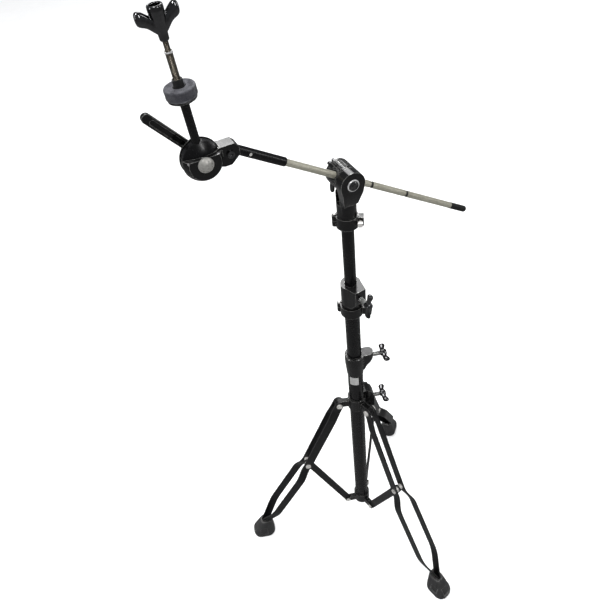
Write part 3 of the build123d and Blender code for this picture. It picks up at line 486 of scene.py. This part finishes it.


# the valley colour is painted shade in the spline valleys, the black one painted shade in the grooves
rodLook = {
    "splines": 44.0, "depth": 0.00006, "ring": (0.00460, 0.00440), "film": 30.0,
    "dark": (0.30, 0.29, 0.235), "light": (0.40, 0.385, 0.32), "valleyShade": (0.03, 0.028, 0.02),
    "grooveShade": (0.003, 0.003, 0.003), "metal": 0.5,
}


def rodMaterial():
    # fine splines along the rod: a wave round its axis with painted shade in its valleys, black rings of
    # painted shade in its grooves, and a dull film
    matrix = turnedTo(joints["boom_slide"]["axis"], joints["boom_tilt"]["axis"], joints["boom_tilt"]["pos_m"])
    material, tree, shader = startMaterial("splinedRod")
    local = aligned(tree, matrix)
    angle = maths(tree, "ARCTAN2", local["Y"], local["Z"])
    wave = maths(tree, "SINE", maths(tree, "MULTIPLY", angle, rodLook["splines"]))
    squares = [maths(tree, "MULTIPLY", local[k], local[k]) for k in ("Y", "Z")]
    radius = maths(tree, "SQRT", maths(tree, "ADD", *squares))
    # where the rod dips into a groove it is painted black and not metallic: painted shade
    ring = ranged(tree, radius, rodLook["ring"])
    tone = useGroup(tree, polish, Scale=rodLook["film"], Low=0.3, High=0.38)
    warm = mixColour(tree, tone["Mask"], rodLook["dark"], rodLook["light"])
    # the valleys of the splines painted darker: painted shade
    valleyShade = ranged(tree, wave, (-1.0, 0.3), (0.3, 0.0))
    lined = mixColour(tree, valleyShade, warm, rodLook["valleyShade"])
    feed(tree, shader,
         colour=mixColour(tree, ring, lined, rodLook["grooveShade"]),
         rough=tone["Value"],
         metal=ranged(tree, ring, end=(rodLook["metal"], 0.0)),
         normal=bumpOf(tree, wave, rodLook["depth"], 0.5))
    return material


def threadMaterial(name, root, crest, pitch, axis, side, place):
    # a screw thread drawn as a bump that climbs one pitch a turn
    material, tree, shader = startMaterial(name)
    local = aligned(tree, turnedTo(axis, side, place))
    angle = maths(tree, "ARCTAN2", local["Y"], local["Z"])
    along = maths(tree, "MULTIPLY", local["X"], 2 * math.pi / pitch)
    wave = maths(tree, "SINE", maths(tree, "ADD", along, angle))
    shade = ranged(tree, wave, (-1.0, 0.6))
    feed(tree, shader,
         colour=mixColour(tree, shade, root, crest),
         rough=useGroup(tree, polish, Scale=80.0, Low=0.22, High=0.45)["Value"],
         normal=bumpOf(tree, wave, 0.0003, 0.9))
    shader.inputs["Metallic"].default_value = 1.0
    return material


# top is painted light on the faces that look up; rim is partly rubbing, partly a painted highlight
feltLook = {
    "dark": (0.010, 0.010, 0.013), "light": (0.036, 0.036, 0.043), "hair": (0.085, 0.085, 0.097),
    "top": (0.15, 0.15, 0.165), "rim": (0.26, 0.26, 0.28),
}


def feltMaterial():
    # pressed wool: cloudy grey, short fibres, painted light from above that makes the top paler, and a rim
    # that is partly rubbed and partly a painted highlight
    material, tree, shader = startMaterial("pressedFelt")
    cloud = noiseOf(tree, 120.0, 8.0, 0.7)
    fibre = noiseOf(tree, 1500.0, 3.0, distortion=1.4)
    base = mixColour(tree, ranged(tree, cloud, (0.3, 0.7)), feltLook["dark"], feltLook["light"])
    hair = ranged(tree, fibre, (0.52, 0.72), (0.0, 0.5))
    haired = mixColour(tree, hair, base, feltLook["hair"])
    # painted light from above: paler felt, in patches, wherever the felt faces up
    paintedTopLight = mixColour(tree, useGroup(tree, dustAndTopLight, Amount=0.8)["Mask"], haired, feltLook["top"])
    # the rim: partly rubbed, partly a painted highlight
    rim = useGroup(tree, rubbedAndLitEdges, Radius=0.0028, Amount=1.0)["Mask"]
    feed(tree, shader,
         colour=mixColour(tree, rim, paintedTopLight, feltLook["rim"]),
         normal=bumpOf(tree, fibre, 0.0005, 0.9))
    shader.inputs["Roughness"].default_value = 0.92
    shader.inputs["Sheen Weight"].default_value = 0.1
    shader.inputs["Sheen Roughness"].default_value = 0.5
    shader.inputs["Specular IOR Level"].default_value = 0.2
    return material


# the edge colour is partly scuffing, partly a painted highlight along the rims
rubberLook = {
    "dark": (0.010, 0.010, 0.0105), "light": (0.028, 0.028, 0.028),
    "edge": (0.34, 0.34, 0.33), "dust": (0.2, 0.195, 0.185),
}


def rubberMaterial():
    # moulded rubber with pale edges, partly scuffing and partly a painted highlight along the rims
    material, tree, shader = startMaterial("footRubber")
    tone = useGroup(tree, polish, Scale=70.0, Low=0.3, High=0.5)
    edge = useGroup(tree, rubbedAndLitEdges, Radius=0.0022, Amount=1.0)["Mask"]
    dust = useGroup(tree, dustAndTopLight, Amount=0.2)["Mask"]
    base = mixColour(tree, tone["Mask"], rubberLook["dark"], rubberLook["light"])
    # pale rims: scuffs, and a painted highlight
    wornAndHighlit = mixColour(tree, edge, base, rubberLook["edge"])
    feed(tree, shader,
         colour=mixColour(tree, dust, wornAndHighlit, rubberLook["dust"]),
         rough=tone["Value"],
         normal=useGroup(tree, grain, Scale=420.0, Depth=0.00012)["Normal"])
    shader.inputs["Specular IOR Level"].default_value = 0.35
    return material


def foilMaterial():
    # the blank label's dull silver
    material, tree, shader = startMaterial("blankFoil")
    tone = useGroup(tree, polish, Scale=110.0, Low=0.3, High=0.55)
    colour = mixColour(tree, tone["Mask"], (0.42, 0.42, 0.41), (0.66, 0.66, 0.65))
    feed(tree, shader, colour=colour, rough=tone["Value"])
    shader.inputs["Metallic"].default_value = 0.6
    return material


def floorMaterial():
    # white paper that looks darker in the gloss of the stand
    material, tree, shader = startMaterial("paleFloor")
    tone = useGroup(tree, polish, Scale=1.5, Low=0.8, High=0.9)
    colour = mixColour(tree, tone["Mask"], (0.86, 0.86, 0.86), (0.885, 0.885, 0.885))
    feed(tree, shader, colour=colour, rough=tone["Value"])
    shader.inputs["Specular IOR Level"].default_value = 0.1
    rays = node(tree, "ShaderNodeLightPath")
    dim = node(tree, "ShaderNodeBsdfDiffuse", {"Color": (0.14, 0.14, 0.14, 1)})
    both = node(tree, "ShaderNodeMixShader", {0: rays.outputs["Is Glossy Ray"]})
    tree.links.new(shader.outputs[0], both.inputs[1])
    tree.links.new(dim.outputs[0], both.inputs[2])
    tree.links.new(both.outputs[0], tree.nodes["Material Output"].inputs["Surface"])
    return material


postAxis = joints["top_wing_nut_lift"]["axis"]
postStart = joints["post_tilt"]["pos_m"]
clampAxis = Vector(joints["boom_tilt"]["axis"])
clampStart = joints["boom_tilt"]["pos_m"]

finish = {name: coatedMetal(name, *values) for name, values in coats.items()}
floor.data.materials.append(floorMaterial())
finish["splinedRod"] = rodMaterial()
finish["pressedFelt"] = feltMaterial()
finish["footRubber"] = rubberMaterial()
finish["blankFoil"] = foilMaterial()
postThread = {"root": (0.05, 0.044, 0.036), "crest": (0.21, 0.185, 0.15), "pitch": 1.25 * mm}
finish["postThread"] = threadMaterial(
    "postThread", **postThread, axis=postAxis, side=(0, 1, 0), place=postStart)
print("materials ready")


# which finish each carried-over node gets

def finishFor(name):
    if name in ("base_tube", "mid_tube", "upper_tube", "post_stem", "boom_sleeve"):
        return "tubeBlack"
    if "strip" in name or (name.startswith("stay_") and name != "stay_pins"):
        return "legBlack"
    if name.endswith("_foot"):
        return "footRubber"
    if name in ("stay_pins", "leg_pins", "sleeve_set_screw"):
        return "zincSteel"
    if "spacers" in name or "knee_bolt" in name or "fasteners" in name:
        return "zincSteel"
    if "wing" in name or name in ("eye_bolt", "block_screw"):
        return "darkChrome"
    if "bushing" in name or name in ("friction_washers", "post_sleeve"):
        return "blackNylon"
    single = {
        "tilter_bolt": "domeCap", "stop_ring": "brightChrome", "boom_rod": "splinedRod",
        "post_rod": "postThread", "boom_end_cap": "capRubber", "cymbal_felt": "pressedFelt",
        "blank_label": "blankFoil",
    }
    return single.get(name, "castBlack")


def paint(piece, material):
    piece.data.materials.clear()
    piece.data.materials.append(material)


for name, piece in nodes.items():
    paint(piece, finish[finishFor(name)])
print("carried-over nodes painted")


def seat(piece, matrix, body, material, angle=35):
    # move the finished mesh to its place, give it its finish and its body
    settle(piece, matrix)
    smooth(piece, angle)
    paint(piece, material)
    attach(piece, body)


def bar(name, low, high):
    bpy.ops.mesh.primitive_cube_add(size=1)
    piece = bpy.context.object
    piece.name = name
    piece.scale = [(b - a) * mm for a, b in zip(low, high)]
    piece.location = [(a + b) / 2 * mm for a, b in zip(low, high)]
    bpy.ops.object.transform_apply(location=True, rotation=True, scale=True)
    return piece


def lobe(name, root, steps):
    # one ear of a wing: a block pulled outwards along x in steps of (out, up, thickness, width)
    piece = bar(name, *root)
    pick(piece)
    bpy.ops.object.mode_set(mode="EDIT")
    selectFaces(piece, lambda middle, normal: normal.x > 0.9)
    for out, up, thick, wide in steps:
        pull(piece, (out, 0, up), (1, thick, wide))
    bpy.ops.object.mode_set(mode="OBJECT")
    addModifier(piece, "SUBSURF", levels=2, render_levels=2)
    return piece


def turnHalf(piece):
    settle(piece, Matrix.Rotation(math.pi, 4, "Z"))


def castTogether(piece, voxel, passes):
    # run the shells of one casting together, with soft fillets where they meet
    addModifier(piece, "REMESH", mode="VOXEL", voxel_size=voxel * mm, use_smooth_shade=True)
    addModifier(piece, "SMOOTH", factor=0.5, iterations=passes)


def twoEared(core, first, second, settings):
    # a hub with an ear each way, cast in one
    turnHalf(second)
    joinInto(core, first, second)
    castTogether(core, settings["voxel"], settings["passes"])


# the three clamp screws: a round hub with two swept ears on a threaded shank

wingScrew = {
    "hub": [(4.4, 13.0), (5.6, 14.2), (6.1, 16.0), (6.3, 20.0), (6.0, 23.0), (4.6, 24.6), (2.0, 25.0)],
    "root": ((2.6, -3.6, 13.4), (6.4, 3.6, 23.6)),
    "ear": [(3.4, 0.4, 0.9, 0.9), (4.4, 0.9, 1.1, 1.2), (4.4, 0.8, 1.15, 1.22),
            (2.9, 0.2, 0.85, 0.85), (1.3, 0, 0.6, 0.6)],
    "voxel": 0.45, "passes": 4, "steps": 40,
    "shank": 4.0, "chamfer": 0.8, "shankTop": 13.2, "pointTop": 13.6, "pointCut": 1,
    "thread": {"root": (0.28, 0.28, 0.27), "crest": (0.75, 0.75, 0.73), "pitch": 1.25 * mm},
}


def clampScrew(name, joint, tip):
    axis, start = joints[joint]["axis"], joints[joint]["pos_m"]
    side = span(name, axis, start)[3]
    matrix = standOn(axis, side, start)
    wing = lathe(name + "_wing", wingScrew["hub"], wingScrew["steps"])
    first = lobe("ear", wingScrew["root"], wingScrew["ear"])
    twoEared(wing, first, copyOf(first, "earTwo"), wingScrew)
    seat(wing, matrix, name, finish["darkChrome"], 60)
    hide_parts(name)
    r, cut, top = wingScrew["shank"], wingScrew["chamfer"], wingScrew["shankTop"]
    outline = [(r - cut, -tip), (r, cut - tip), (r, top), (r - wingScrew["pointCut"], wingScrew["pointTop"])]
    shank = lathe(name + "_shank", outline, wingScrew["steps"])
    thread = threadMaterial(name + "Thread", **wingScrew["thread"], axis=axis, side=side, place=start)
    seat(shank, matrix, name, thread)


clampScrew("collar_wing_screw", "collar_wing_turn", 18.4)
clampScrew("lower_wing_screw", "lower_wing_turn", 19.4)
clampScrew("upper_wing_screw", "upper_wing_turn", 13.0)
print("clamp screws modelled")


# the nut behind the boom clamp: a short ear and a long one that hangs down

boomNut = {
    "hub": [(3.06, 23.4), (5.2, 23.4), (6.0, 24.4), (6.0, 30.0),
            (5.6, 33.0), (4.6, 35.2), (3.06, 35.3), (3.06, 23.4)],
    "root": ((3.2, -3.4, 25.6), (6.6, 3.4, 35.4)),
    "shortEar": [(2.4, 0.8, 0.95, 1.0), (2.4, 0.8, 0.9, 0.9), (1.2, 0.2, 0.7, 0.7)],
    "longEar": [(5, 1.6, 0.9, 0.85), (8, 2.0, 1.0, 0.95), (9, 0.6, 1.1, 1.25),
                (7, 0, 1.05, 1.1), (4.6, -0.2, 0.85, 0.75), (1.9, 0, 0.6, 0.55)],
    "voxel": 0.45, "passes": 4, "steps": 40,
}


def boomWingNut():
    side = span("boom_wing_nut", -clampAxis, clampStart)[3]
    nut = lathe("boom_wing_nut_cast", boomNut["hub"], boomNut["steps"], hollow=True)
    longEar = lobe("ear", boomNut["root"], boomNut["longEar"])
    twoEared(nut, longEar, lobe("earTwo", boomNut["root"], boomNut["shortEar"]), boomNut)
    seat(nut, standOn(-clampAxis, side, clampStart), "boom_wing_nut", finish["darkChrome"], 60)
    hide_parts("boom_wing_nut")


boomWingNut()
print("boom nut modelled")


# the nut at the top of the post: a flared barrel with two thick round ears

topNut = {
    "barrel": [(3.06, 138.5), (4.4, 138.5), (5.0, 139.3), (5.3, 146.0), (6.3, 155.0),
               (7.8, 163.0), (8.4, 168.0), (8.3, 172.2), (7.6, 173.4), (6.4, 173.4),
               (5.8, 172.6), (5.6, 167.4), (3.06, 166.6), (3.06, 138.5)],
    "root": ((3.3, -3.6, 144.5), (5.6, 3.6, 163.5)),
    "ear": [(3.8, 3.6, 1.05, 0.9), (4.2, 4.2, 1.2, 0.97), (4.4, 2.3, 1.15, 1.08),
            (3.2, 0.6, 0.88, 0.88), (1.9, 0, 0.62, 0.62)],
    "voxel": 0.5, "passes": 5, "steps": 48,
}
postSide = span("top_wing_nut", postAxis, postStart)[3]


def topWingNut():
    nut = lathe("top_wing_nut_cast", topNut["barrel"], topNut["steps"], hollow=True)
    first = lobe("ear", topNut["root"], topNut["ear"])
    twoEared(nut, first, copyOf(first, "earTwo"), topNut)
    seat(nut, standOn(postAxis, postSide, postStart), "top_wing_nut", finish["darkChrome"], 60)
    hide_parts("top_wing_nut")


topWingNut()
print("top nut modelled")


# the felt: a thick pressed disc with soft edges and a worn, uneven face

felt = {
    "round": 2.4, "gap": 0.15, "steps": 96, "cornerTurns": (22.5, 45, 67.5, 90),
    "waist": {"lip": 0.1, "pinch": 0.2, "half": 2.0},
    "under": {"hole": 0.6, "ring": 0.1, "flat": 0.05},
    "over": {"hole": 0.9, "ring": 0.3, "flat": 0.25},
    "lump": 0.006, "lumpDepth": 3, "lumpHeight": 0.0006, "lumpMiddle": 0.75,
}


def feltOutline(low, high, inner, reach):
    # up the outside from the hole below to the hole above; both faces dip towards the hole
    r, waist, under, over = felt["round"], felt["waist"], felt["under"], felt["over"]
    flat = [inner + (reach - r - inner) * k / 4 for k in (1, 2, 3, 4)]
    turns = [math.radians(t) for t in felt["cornerTurns"]]
    corner = [(r * (1 - math.sin(t)), r * (1 - math.cos(t))) for t in turns]
    middle = (low + high) / 2
    outline = [(inner, low + under["hole"]), (inner + 1, low + under["ring"])]
    outline += [(x, low + under["flat"]) for x in flat]
    outline += [(reach - inset, low + rise) for inset, rise in corner]
    outline += [(reach - waist["lip"], middle - waist["half"]), (reach - waist["pinch"], middle),
                (reach - waist["lip"], middle + waist["half"])]
    outline += [(reach - inset, high - rise) for inset, rise in reversed(corner)]
    outline += [(reach - r, high)]
    outline += [(x, high - over["flat"]) for x in reversed(flat[:3])]
    outline += [(inner + 1, high - over["ring"]), (inner, high - over["hole"])]
    return outline + outline[:1]


def cymbalFelt():
    low, high, reach, _ = span("cymbal_felt", postAxis, postStart)
    inner = span("post_sleeve", postAxis, postStart)[2] + felt["gap"]
    pad = lathe("cymbal_felt_pad", feltOutline(low, high, inner, reach), felt["steps"], hollow=True)
    addModifier(pad, "SUBSURF", levels=1, render_levels=1)
    cloud = bpy.data.textures.new("feltLumps", "CLOUDS")
    cloud.noise_scale = felt["lump"]
    cloud.noise_depth = felt["lumpDepth"]
    addModifier(pad, "DISPLACE", texture=cloud, texture_coords="LOCAL",
                strength=felt["lumpHeight"], mid_level=felt["lumpMiddle"])
    seat(pad, standOn(postAxis, postSide, postStart), "post", finish["pressedFelt"], 80)
    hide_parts("cymbal_felt")


cymbalFelt()
print("felt modelled")


# rubber feet: rounded, with a groove above the sole and sunk panels on the nose and flanks

foot = {
    "voxel": 0.8, "passes": 4, "groovePlace": 7.0, "grooveHalf": 1.5, "grooveDepth": 1.5,
    "panel": 1.8, "panelLow": 13, "panelHigh": 31, "halfWidth": 8, "soft": 0.9,
}


def hump(value, low, high):
    # 1 between low and high, falling softly to 0 outside
    soft = foot["soft"]
    rise = min(1, max(0, (value - low) / soft + 0.5))
    fall = min(1, max(0, (high - value) / soft + 0.5))
    return rise * fall


def footSink(where, height, normal, outward, across):
    # how deep the groove and the panels lie here, in millimetres
    ring, half, wide = foot["groovePlace"], foot["grooveHalf"], foot["halfWidth"]
    sink = foot["grooveDepth"] * hump(height, ring - half, ring + half) * (abs(normal.z) < 0.8)
    panel = foot["panel"] * hump(height, foot["panelLow"], foot["panelHigh"])
    if normal.dot(outward) > 0.5:
        sink += panel * hump(where.dot(across), -wide, wide)
    elif abs(normal.dot(across)) > 0.6:
        sink += panel * hump(where.dot(outward), -wide, wide)
    return sink


def rubberFoot(leg):
    name = leg + "_foot"
    piece = looseCopy(name, name + "_rubber")
    tidyMesh(piece)
    castTogether(piece, foot["voxel"], foot["passes"])
    low, high = (Vector(c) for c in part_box(name))
    middle = (low + high) / 2
    outward = Vector((middle.x, middle.y, 0)).normalized()
    across = Vector((-outward.y, outward.x, 0))
    shifts = []
    for v in piece.data.vertices:
        sink = footSink((v.co - middle) / mm, v.co.z / mm, v.normal, outward, across)
        shifts.append(v.normal * sink * mm)
    for v, shift in zip(piece.data.vertices, shifts):
        v.co -= shift
    addModifier(piece, "SMOOTH", factor=0.4, iterations=1)
    seat(piece, Matrix(), leg, finish["footRubber"], 70)
    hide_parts(name)


for k in (1, 2, 3):
    rubberFoot(f"leg_{k}")
print("feet modelled")


# chrome washer under the head of the bolt through the boom clamp

boltRing = {
    "inner": 6.9, "outer": 8.8, "rise": 1.7, "gap": 0.05, "steps": 48,
    "outerCut": 0.5, "innerCut": 0.4, "outerSide": 0.6, "innerSide": 0.7,
}


def boltWasher():
    cheek = span("boom_neck", clampAxis, clampStart)[1]
    inner, outer, rise = boltRing["inner"], boltRing["outer"], boltRing["rise"]
    seatHeight, top = cheek + boltRing["gap"], cheek + rise
    outline = [
        (inner, seatHeight), (outer, seatHeight), (outer, cheek + rise * boltRing["outerSide"]),
        (outer - boltRing["outerCut"], top), (inner + boltRing["innerCut"], top),
        (inner, cheek + rise * boltRing["innerSide"]), (inner, seatHeight)]
    washer = lathe("eye_bolt_washer", outline, boltRing["steps"], hollow=True)
    matrix = standOn(clampAxis, (0, 0, 1), clampStart)
    seat(washer, matrix, bodyOf["boom_neck"], finish["brightChrome"])


boltWasher()
print("washer modelled")


# rounded ribs along the clamp drum, left out where the rod comes through

drumRib = {
    "count": 14, "radius": 2.5, "centre": 16.3, "start": -20.0, "end": 4.2, "rodSpace": 24.0,
    "endTurns": (8, 30, 50, 70, 90), "steps": 24,
}


def drumRibs():
    rodWay = Vector(joints["boom_slide"]["axis"])
    heading = Vector((rodWay.x, rodWay.y, 0)).normalized()
    rodAngle = math.degrees(math.atan2(rodWay.z, rodWay.dot(heading)))
    r = drumRib["radius"]
    turns = [math.radians(t) for t in drumRib["endTurns"]]
    ends = [(r * math.sin(t), r * (1 - math.cos(t))) for t in turns]
    outline = [(out, drumRib["start"] + rise) for out, rise in ends]
    outline += [(out, drumRib["end"] - rise) for out, rise in reversed(ends)]
    angles = [360 / drumRib["count"] * k for k in range(drumRib["count"])]
    angles = [a for a in angles if abs((a - rodAngle + 90) % 180 - 90) >= drumRib["rodSpace"]]
    first = lathe("clamp_drum_ribs", outline, drumRib["steps"])
    ribs = [first] + [copyOf(first, f"rib{k}") for k in range(1, len(angles))]
    for rib, angle in zip(ribs, angles):
        turn = math.radians(angle)
        out = heading * math.cos(turn) + Vector((0, 0, math.sin(turn)))
        lift = Matrix.Translation(out * drumRib["centre"] * mm)
        settle(rib, lift @ standOn(clampAxis, heading, clampStart))
    joinInto(*ribs)
    seat(first, Matrix(), bodyOf["clamp_drum"], finish["castBlack"], 60)


drumRibs()
print("drum ribs modelled")


# castings, locks and lever with their sharp edges broken: the width of each break in millimetres

eased = {
    "lower_clamp_housing": 1.0, "upper_clamp_housing": 1.0, "leg_collar": 0.8, "foot_collar": 0.8,
    "boom_neck": 1.2, "clamp_drum": 0.5, "tilter_yoke": 0.6, "tilter_front_cheek": 0.8,
    "tilter_lever": 0.8, "mid_lock_fixed_half": 0.7, "mid_lock_hinged_half": 0.7,
    "top_lock_fixed_half": 0.7, "top_lock_hinged_half": 0.7, "felt_cup": 0.6,
}
easing = {"flatAngle": 0.6, "sharpAngle": 38, "segments": 2, "smoothAngle": 45}


def easedCopy(name, width):
    piece = looseCopy(name, name + "_eased")
    pick(piece)
    bpy.ops.object.mode_set(mode="EDIT")
    bpy.ops.mesh.select_all(action="SELECT")
    bpy.ops.mesh.remove_doubles(threshold=0.00001)
    bpy.ops.mesh.dissolve_limited(angle_limit=math.radians(easing["flatAngle"]))
    bpy.ops.object.mode_set(mode="OBJECT")
    addModifier(piece, "BEVEL", width=width * mm, segments=easing["segments"], limit_method="ANGLE",
                angle_limit=math.radians(easing["sharpAngle"]), harden_normals=False)
    smooth(piece, easing["smoothAngle"])
    addModifier(piece, "WEIGHTED_NORMAL", keep_sharp=True)
    paint(piece, finish[finishFor(name)])
    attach(piece, bodyOf[name])
    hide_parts(name)


for name, width in eased.items():
    easedCopy(name, width)
print("castings eased")
